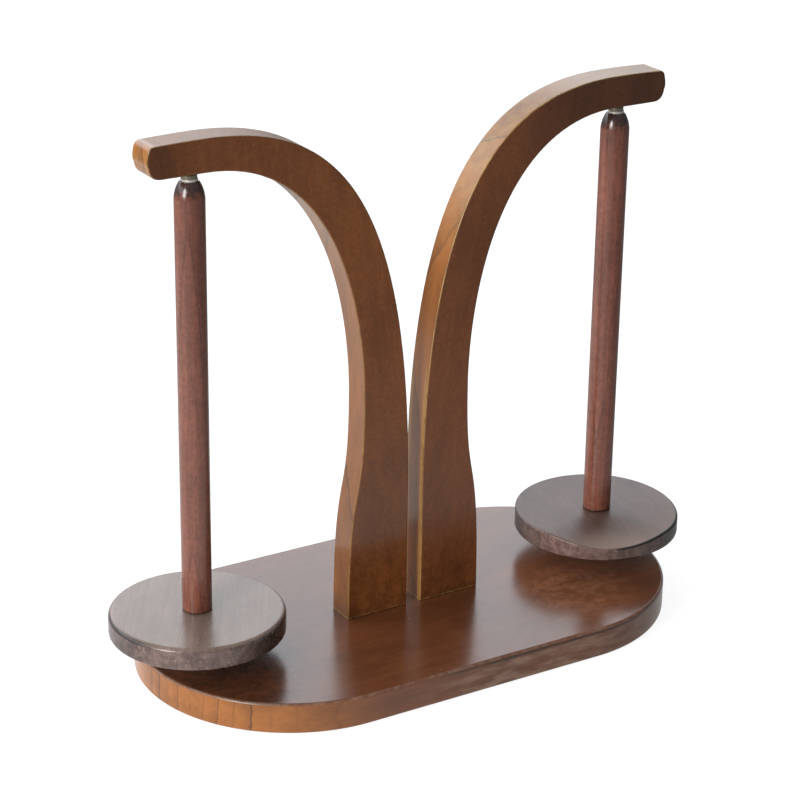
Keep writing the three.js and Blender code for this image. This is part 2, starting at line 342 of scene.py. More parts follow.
def stained(name, marks, numbers, tones, pith, turn, shine=0.5, bump=0.1):
    """Stained and lacquered wood. marks is the group for the kind of piece, numbers are what it is given,
    tones go to the stain, and pith and turn place the tree's axis."""
    made = bpy.data.materials.new(name)
    made.use_nodes = True
    tree = made.node_tree
    shader = tree.nodes["Principled BSDF"]
    shader.inputs["Specular IOR Level"].default_value = shine
    place = put(tree, "TexCoord").outputs["Object"]
    shape = put(tree, "Group", {"Vector": scaled(tree, place, 1 / mm), **numbers}, node_tree=marks).outputs
    tree_axis = {"Vector": place, "Location": pith, "Rotation": turn}
    grown = put(tree, "Mapping", tree_axis, vector_type="TEXTURE")
    masks = {mask: shape[mask] for mask in ("Edge", "Shade", "Worn", "Rough")}
    coat = put(tree, "Group", {"Vector": grown.outputs[0], **masks, **tones}, node_tree=stain).outputs
    relief = put(tree, "Bump", {"Height": coat["Height"], "Strength": bump, "Distance": grain_relief})
    tree.links.new(coat["Colour"], shader.inputs["Base Color"])
    tree.links.new(coat["Roughness"], shader.inputs["Roughness"])
    tree.links.new(relief.outputs[0], shader.inputs["Normal"])
    return made


# The base board: one flat board with half-round ends and eased edges, four countersunk holes under the
# arms' feet. The grain runs along its length.
sides = {"left": -1, "right": 1}
same_place = 0.001 * mm
board_length = 299 * mm
board_width = 162 * mm
board_thickness = 16.4 * mm
board_arris = 1.6 * mm
board_facets = 160
foot_middle = 21.85 * mm
screw_spacing = 16 * mm
screw_sink = 0.3 * mm
arm_screw_length = 40 * mm
hole_radius = 2.1 * mm
hole_facets = 32
countersink_radius = 4.1 * mm
countersink_wall = 0.7 * mm
countersink_depth = 2.7 * mm
arm_screw_places = {
    f"{side}_arm_{place}_screw": k * (foot_middle + step)
    for side, k in sides.items()
    for place, step in (("inner", -screw_spacing / 2), ("outer", screw_spacing / 2))
}


def take(piece):
    """Selects one piece alone and makes it the one in hand."""
    bpy.ops.object.select_all(action="DESELECT")
    piece.select_set(True)
    bpy.context.view_layer.objects.active = piece


def start_piece(name):
    """Names the new primitive as a piece and applies its place."""
    piece = bpy.context.object
    piece.name = name
    piece.data.name = name
    bpy.ops.object.transform_apply(location=True, rotation=True, scale=True)
    return piece


def pick(piece, kind, wanted):
    """In edit mode, selects only the vertices, edges or faces that are wanted."""
    bpy.ops.mesh.select_mode(type=kind)
    bpy.ops.mesh.select_all(action="DESELECT")
    shape = bmesh.from_edit_mesh(piece.data)
    for part in {"VERT": shape.verts, "EDGE": shape.edges, "FACE": shape.faces}[kind]:
        if wanted(part):
            part.select_set(True)
    shape.select_flush_mode()
    bmesh.update_edit_mesh(piece.data)


def ease_edges(piece, axis, arris, steps):
    """Bevels the edges whose two ends lie at the same place along an axis: 1 is Y and 2 is Z."""
    pick(piece, "EDGE", lambda e: abs(e.verts[0].co[axis] - e.verts[1].co[axis]) < same_place)
    bpy.ops.mesh.bevel(offset=arris, segments=steps, profile=0.5, affect="EDGES")


def smoothed(piece, angle=40):
    """Smooth shading that keeps flats flat and stops at real corners."""
    take(piece)
    bpy.ops.object.shade_smooth_by_angle(angle=math.radians(angle))
    bpy.ops.object.modifier_add(type="WEIGHTED_NORMAL")
    piece.modifiers[-1].keep_sharp = True
    bpy.ops.object.modifier_apply(modifier=piece.modifiers[-1].name)


def turned(name, profile, facets):
    """A shape turned about Z from points of radius and height; a closed profile makes a ring."""
    outline = bpy.data.meshes.new(name)
    links = [(i, i + 1) for i in range(len(profile) - 1)]
    outline.from_pydata([(radius, 0, height) for radius, height in profile], links, [])
    piece = bpy.data.objects.new(name, outline)
    bpy.context.collection.objects.link(piece)
    take(piece)
    bpy.ops.object.mode_set(mode="EDIT")
    bpy.ops.mesh.select_all(action="SELECT")
    bpy.ops.mesh.spin(steps=facets, angle=2 * math.pi, center=(0, 0, 0), axis=(0, 0, 1))
    bpy.ops.mesh.select_all(action="SELECT")
    bpy.ops.mesh.remove_doubles(threshold=same_place)
    bpy.ops.mesh.normals_make_consistent(inside=False)
    bpy.ops.object.mode_set(mode="OBJECT")
    return piece


def carve(piece, cutter):
    """Cuts the cutter out of the piece and throws the cutter away."""
    take(piece)
    bpy.ops.object.modifier_add(type="BOOLEAN")
    piece.modifiers[-1].object = cutter
    piece.modifiers[-1].operation = "DIFFERENCE"
    piece.modifiers[-1].solver = "EXACT"
    bpy.ops.object.modifier_apply(modifier=piece.modifiers[-1].name)
    bpy.data.objects.remove(cutter)


def shifted(piece, x=0.0, y=0.0, z=0.0):
    """Moves a piece's mesh, so that its object stays at the origin."""
    piece.data.transform(Matrix.Translation((x, y, z)))
    return piece


screw_hole = [
    (0, -mm),
    (countersink_radius, -mm),
    (countersink_radius, countersink_wall),
    (hole_radius, countersink_depth),
    (hole_radius, board_thickness + 2 * mm),
    (0, board_thickness + 2 * mm),
]

bpy.ops.object.select_all(action="DESELECT")
bpy.ops.mesh.primitive_cylinder_add(
    vertices=board_facets,
    radius=board_width / 2,
    depth=board_thickness,
    location=(0, 0, board_thickness / 2),
    rotation=(0, 0, math.pi / board_facets),
)
board = start_piece("stained_base_board")
bpy.ops.object.mode_set(mode="EDIT")
for k in sides.values():
    pick(board, "VERT", lambda v: v.co.x * k > 0)
    bpy.ops.transform.translate(value=(k * (board_length - board_width) / 2, 0, 0))
ease_edges(board, 2, board_arris, 5)
bpy.ops.object.mode_set(mode="OBJECT")
for x in arm_screw_places.values():
    carve(board, shifted(turned("screw_hole", screw_hole, hole_facets), x))
smoothed(board)

# On the board, the top arris is rubbed pale and carries a painted highlight, a painted shade line stands
# under it to the right, the top has a painted shadow under the left disc and is amber under the right one,
# with pale patches that are partly dust and partly painted sheen, and the side has painted light at its
# left end and painted shade towards its right. All places are in millimetres.
board_side = (16.0, 14.9)
rubbed_and_highlit_arris = (15.3, 16.25)
shade_under_arris = (13.9, 15.1)
dusty_side = (0, 13.6)
painted_light_end = (-125, -50)
right_part = (-60, 10)
disc_shadow_spot = {"middle": (-122, -32, 0), "inner": 28, "outer": 52, "change": -0.45}
amber_spot = {"middle": (84, -38, 0), "inner": 14, "outer": 42, "change": 0.62}


def inverted(tree, mask):
    """1 where a mask is 0, and 0 where it is 1."""
    return sums(tree, "SUBTRACT", 1.0, mask)


def band(tree, value, low, high, soft):
    """1 between two bounds and 0 outside, with soft sides."""
    rise = ramped(tree, sums(tree, "SUBTRACT", value, low), -soft / 2, soft / 2)
    fall = ramped(tree, sums(tree, "SUBTRACT", value, high), soft / 2, -soft / 2)
    return sums(tree, "MULTIPLY", rise, fall)


def mottled(tree, place, size, low=0.35, high=0.65):
    """Patches of about a size in millimetres."""
    patchy = drawn_out(tree, place, size, size, Detail=3.0, Roughness=0.6)
    return ramped(tree, patchy.outputs["Fac"], low, high)


board_marks, board_in, board_out = marked("board_marks")
place = board_in["Vector"]
parts = put(board_marks, "SeparateXYZ", {0: place}).outputs
level = levelled(board_marks, place)
patches = mottled(board_marks, place, 5)
below = ramped(board_marks, parts["Z"], *board_side)
on_top = inverted(board_marks, below)
# Painted light: the side takes the lighter edge tone only at its left end, where the light falls.
painted_light_side = sums(board_marks, "MULTIPLY", below, ramped(board_marks, parts["X"], *painted_light_end, 1.0, 0.05))
board_marks.links.new(painted_light_side, board_out["Edge"])
rightward = ramped(board_marks, parts["X"], *right_part)
# Painted shade: a dark line under the top arris, towards the right.
shade_line = sums(
    board_marks,
    "MULTIPLY",
    band(board_marks, parts["Z"], *shade_under_arris, 0.7),
    rightward,
    spread(board_marks, patches, 0.45, 0.75),
)
shade = inverted(board_marks, shade_line)
# The spots: a painted shadow under the left disc, and a lighter amber patch under the right one.
for spot in (disc_shadow_spot, amber_spot):
    share = sums(
        board_marks,
        "MULTIPLY",
        ramped(board_marks, apart(board_marks, level, spot["middle"]), spot["outer"], spot["inner"]),
        on_top,
        spread(board_marks, patches, 0.45 * spot["change"], 1.1 * spot["change"]),
    )
    shade = sums(board_marks, "MULTIPLY", shade, sums(board_marks, "ADD", 1.0, share))
# Pale patches in the amber spot: partly dust and partly a painted sheen.
amber_dust_and_sheen = sums(board_marks, "MULTIPLY", share, 0.2)
# Painted shade: the side gets darker towards the right, away from the light.
painted_shade_right = ramped(board_marks, parts["X"], -60, 60, 1.0, 0.8)
shade = sums(board_marks, "MULTIPLY", shade, spread(board_marks, below, 1.0, painted_shade_right))
board_marks.links.new(shade, board_out["Shade"])
# The pale rubbed arris also stands for a painted highlight.
rubbed_and_highlit = sums(
    board_marks,
    "MULTIPLY",
    band(board_marks, parts["Z"], *rubbed_and_highlit_arris, 0.4),
    spread(board_marks, patches, 0.12, 0.34),
)
lengthwise = vector_sums(board_marks, "MULTIPLY", place, (0.25, 1, 1))
dusty = sums(
    board_marks,
    "MULTIPLY",
    mottled(board_marks, lengthwise, 5, 0.38, 0.7),
    rightward,
    band(board_marks, parts["Z"], *dusty_side, 1.2),
    ramped(board_marks, parts["X"], 20, 145, 0.4, 0.12),
)
board_marks.links.new(sums(board_marks, "MAXIMUM", rubbed_and_highlit, dusty, amber_dust_and_sheen), board_out["Worn"])
board_tones = {
    "Face tone": (0.135, 0.042, 0.015, 1),
    "Edge tone": (0.31, 0.108, 0.022, 1),
    "Worn tone": (0.42, 0.28, 0.2, 1),
    "Ring width mm": 7.5,
    "Waver mm": 16,
    "Face lines": 0.12,
    "Edge lines": 0.8,
    "Gloss": 0.2,
}
board_pith = (0.03, 0.33, 0.02)
board_turn = (0, math.radians(88), math.radians(3))
board_stain = stained("base_board_stain", board_marks, {}, board_tones, board_pith, board_turn)
board.data.materials.append(board_stain)
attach(board, "holder")
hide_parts("base_board")


# The arms: two boards sawn to one curve, sanded, and screwed up through the base. Each stands straight
# beside the other, narrows at the waist and bends out level over its spindle.
arm_thickness = 16.4 * mm
arm_arris = 0.9 * mm
outline_merge = 0.005 * mm
outline_straight = math.radians(0.05)
arm_outline = [
    # place, handle before and handle after, in millimetres across and up
    ((4.2, 16.5), None, None),
    ((4.2, 82.3), None, (4.2, 249.94)),
    ((118.0, 285.5), (51.43, 285.5), (126.43, 285.5)),
    ((143.3, 285.0), (134.87, 285.33), (145.3, 285.0)),
    ((146.95, 282.0), (146.52, 284.0), (147.82, 278.6)),
    ((146.95, 274.8), (147.82, 276.2), (146.52, 270.8)),
    ((140.3, 268.8), (144.3, 268.8), None),
    ((117.4, 268.8), None, (43.96, 268.8)),
    ((31.0, 136.0), (31.0, 178.5), (31.0, 71.5)),
    ((39.5, 16.5), (39.5, 101.35), None),
]
spindle_x = 122.4 * mm
spindle_places = {side: k * spindle_x for side, k in sides.items()}
tip_underside = 268.8 * mm
magnet_recess = 0.6 * mm
cup_height = 6 * mm
cup_radius = 4 * mm
socket_gap = 0.1 * mm
cup_socket = cup_radius + socket_gap
plate_facets = 48
socket_end = tip_underside + magnet_recess + cup_height + socket_gap
magnet_socket = [
    (0, tip_underside - mm),
    (cup_socket, tip_underside - mm),
    (cup_socket, socket_end),
    (0, socket_end),
]

bpy.ops.object.select_all(action="DESELECT")
bpy.ops.curve.primitive_bezier_curve_add()
sawn = bpy.context.object
sawn.data.dimensions = "2D"
sawn.data.fill_mode = "NONE"
sawn.data.resolution_u = 40
line = sawn.data.splines[0]
line.use_cyclic_u = True
line.bezier_points.add(len(arm_outline) - 2)
for point, (place, before, after) in zip(line.bezier_points, arm_outline):
    point.handle_left_type = point.handle_right_type = "FREE"
    point.co = (place[0] * mm, place[1] * mm, 0)
    point.handle_left = [c * mm for c in (*(before or place), 0)]
    point.handle_right = [c * mm for c in (*(after or place), 0)]
sawn.location = (0, arm_thickness / 2, 0)
sawn.rotation_euler = (math.pi / 2, 0, 0)
bpy.ops.object.convert(target="MESH")
right_arm = start_piece("stained_right_arm")
bpy.ops.object.mode_set(mode="EDIT")
bpy.ops.mesh.select_all(action="SELECT")
bpy.ops.mesh.remove_doubles(threshold=outline_merge)
bpy.ops.mesh.edge_face_add()
bpy.ops.mesh.dissolve_limited(angle_limit=outline_straight)
bpy.ops.mesh.extrude_region_move(TRANSFORM_OT_translate={"value": (0, -arm_thickness, 0)})
bpy.ops.mesh.select_all(action="SELECT")
bpy.ops.mesh.normals_make_consistent(inside=False)
ease_edges(right_arm, 1, arm_arris, 4)
bpy.ops.object.mode_set(mode="OBJECT")
carve(right_arm, shifted(turned("magnet_socket", magnet_socket, plate_facets), spindle_x))
bpy.ops.object.duplicate()
left_arm = bpy.context.object
left_arm.name = "stained_left_arm"
left_arm.data.name = "stained_left_arm"
left_arm.data.transform(Matrix.Scale(-1, 4, (1, 0, 0)))
bpy.ops.object.mode_set(mode="EDIT")
bpy.ops.mesh.select_all(action="SELECT")
bpy.ops.mesh.normals_make_consistent(inside=False)
bpy.ops.object.mode_set(mode="OBJECT")

# On an arm, the sawn edges are lighter than the faces, most at the tip's end and not on its top, which is
# scuffed; the faces get darker towards the tip, and the arrises are rubbed and carry a painted highlight.
# The inner edges between the arms have painted light near the faces. Places are in millimetres.
sawn_side = (7.9, 7.2)
worn_and_highlit_arris = (7.45, 7.95)
tip_end = (142, 146)
scuffed_part = (190, 255)

arm_marks, arm_in, arm_out = marked(
    "arm_marks", "Dark from", "Dark to", "Dark share", "Arris wear and highlight", "Scuffs", "Dull top"
)
place = arm_in["Vector"]
parts = put(arm_marks, "SeparateXYZ", {0: place}).outputs
fine = mottled(arm_marks, place, 1.8)
outward = sums(arm_marks, "ABSOLUTE", parts["X"])
depth = sums(arm_marks, "ABSOLUTE", parts["Y"])
on_edge = ramped(arm_marks, depth, *sawn_side)
tip_top = sums(
    arm_marks,
    "MULTIPLY",
    ramped(arm_marks, parts["Z"], 250, 281),
    ramped(arm_marks, outward, 145, 141),
)
light_edge = sums(arm_marks, "MULTIPLY", on_edge, spread(arm_marks, tip_top, 1.0, 0.2))
arm_marks.links.new(light_edge, arm_out["Edge"])
foot = ramped(arm_marks, parts["Z"], 60, 20, 0.0, 0.35)
blotch = sums(arm_marks, "SUBTRACT", mottled(arm_marks, place, 7), 0.5)
shade = sums(
    arm_marks,
    "MULTIPLY",
    ramped(arm_marks, outward, arm_in["Dark from"], arm_in["Dark to"], 1.0, arm_in["Dark share"]),
    sums(arm_marks, "ADD", 1.0, sums(arm_marks, "MULTIPLY", foot, blotch)),
    spread(arm_marks, fine, 0.92, 1.08),
)
end_light = ramped(arm_marks, outward, *tip_end, 1.0, 1.4)
arm_marks.links.new(spread(arm_marks, on_edge, shade, end_light), arm_out["Shade"])
# Rubbed arrises, which also carry a painted highlight.
rubbed_and_highlit = sums(
    arm_marks,
    "MULTIPLY",
    band(arm_marks, depth, *worn_and_highlit_arris, 0.3),
    arm_in["Arris wear and highlight"],
    spread(arm_marks, mottled(arm_marks, place, 9), 0.4, 1.0),
)
scuffed = sums(
    arm_marks,
    "MULTIPLY",
    spread(arm_marks, mottled(arm_marks, place, 6), 0.12, 0.26),
    ramped(arm_marks, parts["Z"], *scuffed_part),
    on_edge,
    arm_in["Scuffs"],
)
# Painted light: a pale band on the inner edges between the arms, near the faces, where light reaches past
# the other arm.
painted_light_between_arms = sums(
    arm_marks,
    "MULTIPLY",
    ramped(arm_marks, outward, 8, 5),
    ramped(arm_marks, depth, 4.6, 5.6),
    sums(arm_marks, "MULTIPLY", on_edge, 0.33),
)
foot_line = sums(
    arm_marks,
    "MULTIPLY",
    ramped(arm_marks, parts["Z"], 18.0, 17.0),
    spread(arm_marks, fine, 0.1, 0.5),
)
worn = sums(arm_marks, "MAXIMUM", rubbed_and_highlit, scuffed, painted_light_between_arms, foot_line)
arm_marks.links.new(worn, arm_out["Worn"])
dull = sums(arm_marks, "MULTIPLY", on_edge, spread(arm_marks, tip_top, -0.08, arm_in["Dull top"]))
arm_marks.links.new(dull, arm_out["Rough"])


def finish_arm(side, arm, marks, tones, pith, turn):
    """Smooths, stains and fixes one arm."""
    smoothed(arm)
    tones = {"Worn tone": (0.5, 0.35, 0.11, 1), "Edge lines": 1.0, "Streaks": 0.045, **tones}
    arm_stain = stained(f"{side}_arm_stain", arm_marks, marks, tones, pith, turn, shine=0.48)
    arm.data.materials.append(arm_stain)
    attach(arm, "holder")
    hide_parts(f"{side}_arm")


finish_arm(
    "left",
    left_arm,
    marks={
        "Dark from": 119,
        "Dark to": 140,
        "Dark share": 0.58,
        "Arris wear and highlight": 0.35,
        "Scuffs": 0.6,
        "Dull top": 0.15,
    },
    tones={"Face tone": (0.182, 0.057, 0.015, 1), "Edge tone": (0.23, 0.08, 0.017, 1), "Gloss": 0.17},
    pith=(-0.30, 0.12, 0),
    turn=(math.radians(4), math.radians(-7), 0),
)
finish_arm(
    "right",
    right_arm,
    marks={
        "Dark from": 32,
        "Dark to": 104,
        "Dark share": 0.5,
        "Arris wear and highlight": 0.7,
        "Scuffs": 1.0,
        "Dull top": -0.02,
    },
    tones={"Face tone": (0.163, 0.051, 0.015, 1), "Edge tone": (0.29, 0.1, 0.02, 1), "Gloss": 0.25},
    pith=(0.33, 0.09, 0),
    turn=(math.radians(-3), math.radians(8), 0),
)


# The discs: turned from flat boards, with rounded rims and a countersunk hole underneath. The right one's
# top was sanded by hand and slopes down to its rim at the front; both rims took the stain mottled.
disc_radius = 44.5 * mm
disc_bottom = 29.4 * mm
disc_top = 40.9 * mm
disc_top_round = 2.6 * mm
disc_bottom_round = 1.2 * mm
disc_halfway = 20 * mm
disc_facets = 128
disc_screw_length = 32 * mm


def rounded(centre, radius, start, end, steps):
    """Points of a round on a turned profile, between two angles in degrees about its centre."""
    angles = [math.radians(start + (end - start) * i / steps) for i in range(steps + 1)]
    return [(centre[0] + radius * math.cos(a), centre[1] + radius * math.sin(a)) for a in angles]


disc_low_middle = (disc_radius - disc_bottom_round, disc_bottom + disc_bottom_round)
disc_high_middle = (disc_radius - disc_top_round, disc_top - disc_top_round)
disc_profile = [
    (hole_radius, disc_bottom + countersink_depth),
    (countersink_radius, disc_bottom + countersink_wall),
    (countersink_radius, disc_bottom),
    (disc_halfway, disc_bottom),
    *rounded(disc_low_middle, disc_bottom_round, -90, 0, 6),
    *rounded(disc_high_middle, disc_top_round, 0, 90, 10),
    (disc_halfway, disc_top),
    (hole_radius, disc_top),
    (hole_radius, disc_bottom + countersink_depth),
]


def sanded(disc, arris_round, lobes):
    """Rounds the rim's top to another radius and sands the top down to it in a slope. Each lobe is a
    bearing in degrees, how far it reaches to both sides, and its drop."""
    inner = disc_radius - disc_top_round
    lower = disc_top - disc_top_round
    for point in disc.data.vertices:
        across = point.co.xy.length
        if across < inner - same_place or point.co.z < lower - same_place:
            continue
        bearing = math.degrees(math.atan2(point.co.y, point.co.x))
        drop = 0.0
        for toward, half_width, deepest in lobes:
            off = abs((bearing - toward + 180) % 360 - 180) / half_width
            if off < 1:
                drop += deepest * (0.5 + 0.5 * math.cos(math.pi * off))
        out = (across - inner) / disc_top_round
        up = (point.co.z - lower) / disc_top_round
        point.co.xy *= (disc_radius - arris_round + arris_round * out) / across
        point.co.z = disc_top - drop - arris_round + arris_round * up
    return disc


# On a disc, the rim took the stain unevenly and has painted light, lightest at the front, and is rubbed
# pale in specks; part of its arris has a dark line, partly stain and partly painted shade. On the right
# disc the slope is paler, partly sanded wood and partly a painted sheen. Places are in millimetres.
# The two directions measure 1 from a disc's middle to its rim.
disc_front = Vector((-0.64, -0.77, 0)) * mm / disc_radius
disc_right = Vector((0.77, -0.64, 0)) * mm / disc_radius
rim_to_top = (44.4, 43.4)
line_on_arris = (43.2, 44.45)
specks_from = (41.2, 42.6)

disc_marks, disc_in, disc_out = marked("disc_marks", "Centre x", "Sanded and sheen", "Line", "Line from", "Line to")
place = disc_in["Vector"]
middle = put(disc_marks, "CombineXYZ", {"X": disc_in["Centre x"]}).outputs[0]
spoke = levelled(disc_marks, vector_sums(disc_marks, "SUBTRACT", place, middle))
radius = reach(disc_marks, spoke)
frontward = along(disc_marks, spoke, disc_front)
sideward = along(disc_marks, spoke, disc_right)
from_front = sums(disc_marks, "ARCTAN2", sideward, frontward)
from_front = sums(disc_marks, "MULTIPLY", from_front, math.degrees(1))
depth = sums(disc_marks, "SUBTRACT", disc_top / mm, put(disc_marks, "SeparateXYZ", {0: place}).outputs["Z"])
on_top = ramped(disc_marks, radius, *rim_to_top)
rim = inverted(disc_marks, on_top)
disc_marks.links.new(rim, disc_out["Edge"])
# The rim's mottling is uneven stain; its lightness towards the front is painted light.
uneven_and_lit_rim = sums(
    disc_marks,
    "MULTIPLY",
    spread(disc_marks, mottled(disc_marks, place, 4), 0.75, 1.25),
    ramped(disc_marks, frontward, 0.3, 0.95, 0.3, 1.12),
)
# A dark line on the arris: partly stain and partly painted shade.
shade_line = sums(
    disc_marks,
    "MULTIPLY",
    band(disc_marks, radius, *line_on_arris, 0.3),
    disc_in["Line"],
    band(disc_marks, from_front, disc_in["Line from"], disc_in["Line to"], 16),
)
off_line = inverted(disc_marks, shade_line)
shade = sums(disc_marks, "MULTIPLY", spread(disc_marks, rim, 1.0, uneven_and_lit_rim), off_line)
disc_marks.links.new(shade, disc_out["Shade"])
specks = sums(
    disc_marks,
    "MULTIPLY",
    mottled(disc_marks, place, 1.3, 0.54, 0.68),
    mottled(disc_marks, place, 11, 0.42, 0.62),
    ramped(disc_marks, radius, *specks_from, 0.0, 0.4),
    off_line,
)
# The slope is paler: partly sanded wood and partly a painted sheen.
slope = sums(
    disc_marks,
    "MULTIPLY",
    ramped(disc_marks, depth, 0.2, 4.5),
    disc_in["Sanded and sheen"],
    0.42,
    on_top,
    off_line,
)
disc_marks.links.new(sums(disc_marks, "MAXIMUM", specks, slope), disc_out["Worn"])


def make_disc(side, marks, tones, pith, grain_angle, arris_round, lobes):
    """Turns, sands and stains one disc and gives it to its spindle."""
    disc = sanded(turned(f"stained_{side}_disc", disc_profile, disc_facets), arris_round, lobes)
    shifted(disc, spindle_places[side])
    smoothed(disc)
    marks = {"Centre x": spindle_places[side] / mm, **marks}
    tones = {
        "Late wood tone": (0.03, 0.016, 0.012, 1),
        "Worn tone": (0.5, 0.36, 0.29, 1),
        "Ring width mm": 3.4,
        "Waver mm": 10,
        "Face lines": 0.35,
        "Edge lines": 0.3,
        **tones,
    }
    turn = (0, math.radians(86), math.radians(grain_angle))
    disc_stain = stained(f"{side}_disc_stain", disc_marks, marks, tones, pith, turn, bump=0.16)
    disc.data.materials.append(disc_stain)
    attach(disc, f"{side}_spindle")
    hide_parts(f"{side}_disc")


make_disc(
    "left",
    marks={"Sanded and sheen": 0, "Line": 0.8, "Line from": -75, "Line to": -22},
    tones={"Face tone": (0.2, 0.14, 0.11, 1), "Edge tone": (0.125, 0.08, 0.07, 1), "Gloss": 0.25},
    pith=(-0.16, 0.20, 0.02),
    grain_angle=60,
    arris_round=disc_top_round,
    lobes=[],
)
# The right disc's rim tone is set lighter, partly a painted highlight on its sanded facet.
make_disc(
    "right",
    marks={"Sanded and sheen": 0.95, "Line": 0.95, "Line from": 18, "Line to": 115},
    tones={"Face tone": (0.1, 0.055, 0.042, 1), "Edge tone": (0.172, 0.106, 0.088, 1), "Gloss": 0.4},
    pith=(0.20, 0.22, 0.03),
    grain_angle=78,
    arris_round=1.2 * mm,
    lobes=[(-70, 130, 2.2 * mm), (-115, 50, 3.1 * mm)],
)


# The rods: 15 mm dowels with an eased foot and a bullet-shaped top that is bored for the cup magnet.
# Each stands on its disc, with a screw up its middle.
rod_radius = 7.5 * mm
rod_bottom = 41.0 * mm
rod_top = 264.0 * mm
rod_foot_round = 0.8 * mm
rod_taper = 8.5 * mm
rod_taper_corner = Vector((rod_radius - 0.4 * mm, rod_top - 3.6 * mm))
rod_tip_radius = 4.7 * mm
rod_screw_bore = 22 * mm
rod_cup_bore = 4.9 * mm
rod_facets = 64


def shoulder(steps=14):
    """The bullet top, from the rod's side up to the rim round the magnet."""
    start = Vector((rod_radius, rod_top - rod_taper))
    end = Vector((rod_tip_radius, rod_top))
    shares = [i / steps for i in range(steps + 1)]
    return [tuple(start * (1 - t) ** 2 + rod_taper_corner * 2 * t * (1 - t) + end * t * t) for t in shares]


rod_foot_middle = (rod_radius - rod_foot_round, rod_bottom + rod_foot_round)
rod_profile = [
    (0, rod_bottom + rod_screw_bore),
    (hole_radius, rod_bottom + rod_screw_bore),
    (hole_radius, rod_bottom),
    *rounded(rod_foot_middle, rod_foot_round, -90, 0, 5),
    *[(rod_radius, rod_bottom + step * mm) for step in (30, 80, 130, 180)],
    *shoulder(),
    (cup_socket, rod_top),
    (cup_socket, rod_top - rod_cup_bore),
    (0, rod_top - rod_cup_bore),
]

# On a rod, the two ends drink more of the stain, up to an uneven line. Places are in millimetres.
rod_dark_top = (256.2, 260.2)
rod_dark_foot = (42.6, 41.3)

rod_marks, rod_in, rod_out = marked("rod_marks")
place = rod_in["Vector"]
height = put(rod_marks, "SeparateXYZ", {0: place}).outputs["Z"]
patches = mottled(rod_marks, place, 3)
ragged = sums(rod_marks, "ADD", height, spread(rod_marks, patches, -1.6, 1.6))
dark_top = ramped(rod_marks, ragged, *rod_dark_top)
dark_foot = ramped(rod_marks, height, *rod_dark_foot)
rod_marks.links.new(sums(rod_marks, "MAXIMUM", dark_top, dark_foot), rod_out["Edge"])
rod_marks.links.new(spread(rod_marks, patches, 0.9, 1.12), rod_out["Shade"])
rod_marks.links.new(sums(rod_marks, "MULTIPLY", dark_top, -0.08), rod_out["Rough"])
rod_tones = {
    "Face tone": (0.19, 0.061, 0.037, 1),
    "Edge tone": (0.05, 0.024, 0.02, 1),
    "Worn tone": (0.5, 0.28, 0.22, 1),
    "Ring width mm": 2.4,
    "Waver mm": 5,
    "Face lines": 0.45,
    "Edge lines": 0.3,
    "Speckle": 0.5,
    "Streaks": 0.14,
    "Gloss": 0.25,
}
for side, pith, turn in (
    ("left", (-0.10, 0.03, 0), (math.radians(1.5), math.radians(-1), 0)),
    ("right", (0.15, 0.025, 0), (math.radians(-1), math.radians(1.2), 0)),
):
    rod = shifted(turned(f"stained_{side}_rod", rod_profile, rod_facets), spindle_places[side])
    smoothed(rod)
    rod_stain = stained(f"{side}_rod_stain", rod_marks, {}, rod_tones, pith, turn, shine=0.65, bump=0.2)
    rod.data.materials.append(rod_stain)
    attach(rod, f"{side}_spindle")
    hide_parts(f"{side}_rod")


# The swivels: a disc magnet in a nickel cup under each arm's tip and in each rod's top, with a steel
# ball and a black nylon ring between them. The rod's cup has a bright lip and a darker collar above it.
ball_centre = 267.3 * mm
ball_radius = 2 * mm
rod_magnet_face = 265.2 * mm
arm_magnet_face = 269.4 * mm
cup_wall = 0.8 * mm
cup_floor = 1.2 * mm
cup_edge = 0.25 * mm
cup_inner = cup_radius - cup_wall
lip_radius = 4.2 * mm
lip_height = 1.1 * mm
collar_radius = 3.9 * mm
collar_height = 2 * mm
collar_arris = 0.15 * mm
magnet_gap = 0.1 * mm
magnet_radius = cup_inner - magnet_gap
magnet_round = 0.15 * mm
ring_inner = 2.1 * mm
ring_outer = 2.9 * mm
ring_half = 0.4 * mm
smear_size = 2.5 * mm
scratch_size = 0.4 * mm
scratch_relief = 0.02 * mm

# The wear that all the metal and the ring share: smears that dull it here and there, and fine scratches.
wear, wear_in, wear_out = grouped(
    "smears_and_scratches",
    [
        ("Vector", "Vector", None),
        ("Bright tone", "Color", None),
        ("Dull tone", "Color", None),
        ("Rough from", "Float", None),
        ("Rough to", "Float", None),
    ],
    finish_outputs,
)
scratches = put(wear, "TexNoise", {"Vector": wear_in["Vector"], "Scale": 1 / scratch_size, "Detail": 3.0})
smears = put(wear, "TexNoise", {"Vector": wear_in["Vector"], "Scale": 1 / smear_size, "Detail": 2.0})
smear = smears.outputs["Fac"]
rough_range = (wear_in["Rough from"], wear_in["Rough to"])
wear.links.new(toned(wear, smear, wear_in["Dull tone"], wear_in["Bright tone"]), wear_out["Colour"])
wear.links.new(ramped(wear, smear, 0.3, 0.7, *rough_range), wear_out["Roughness"])
wear.links.new(scratches.outputs["Fac"], wear_out["Height"])


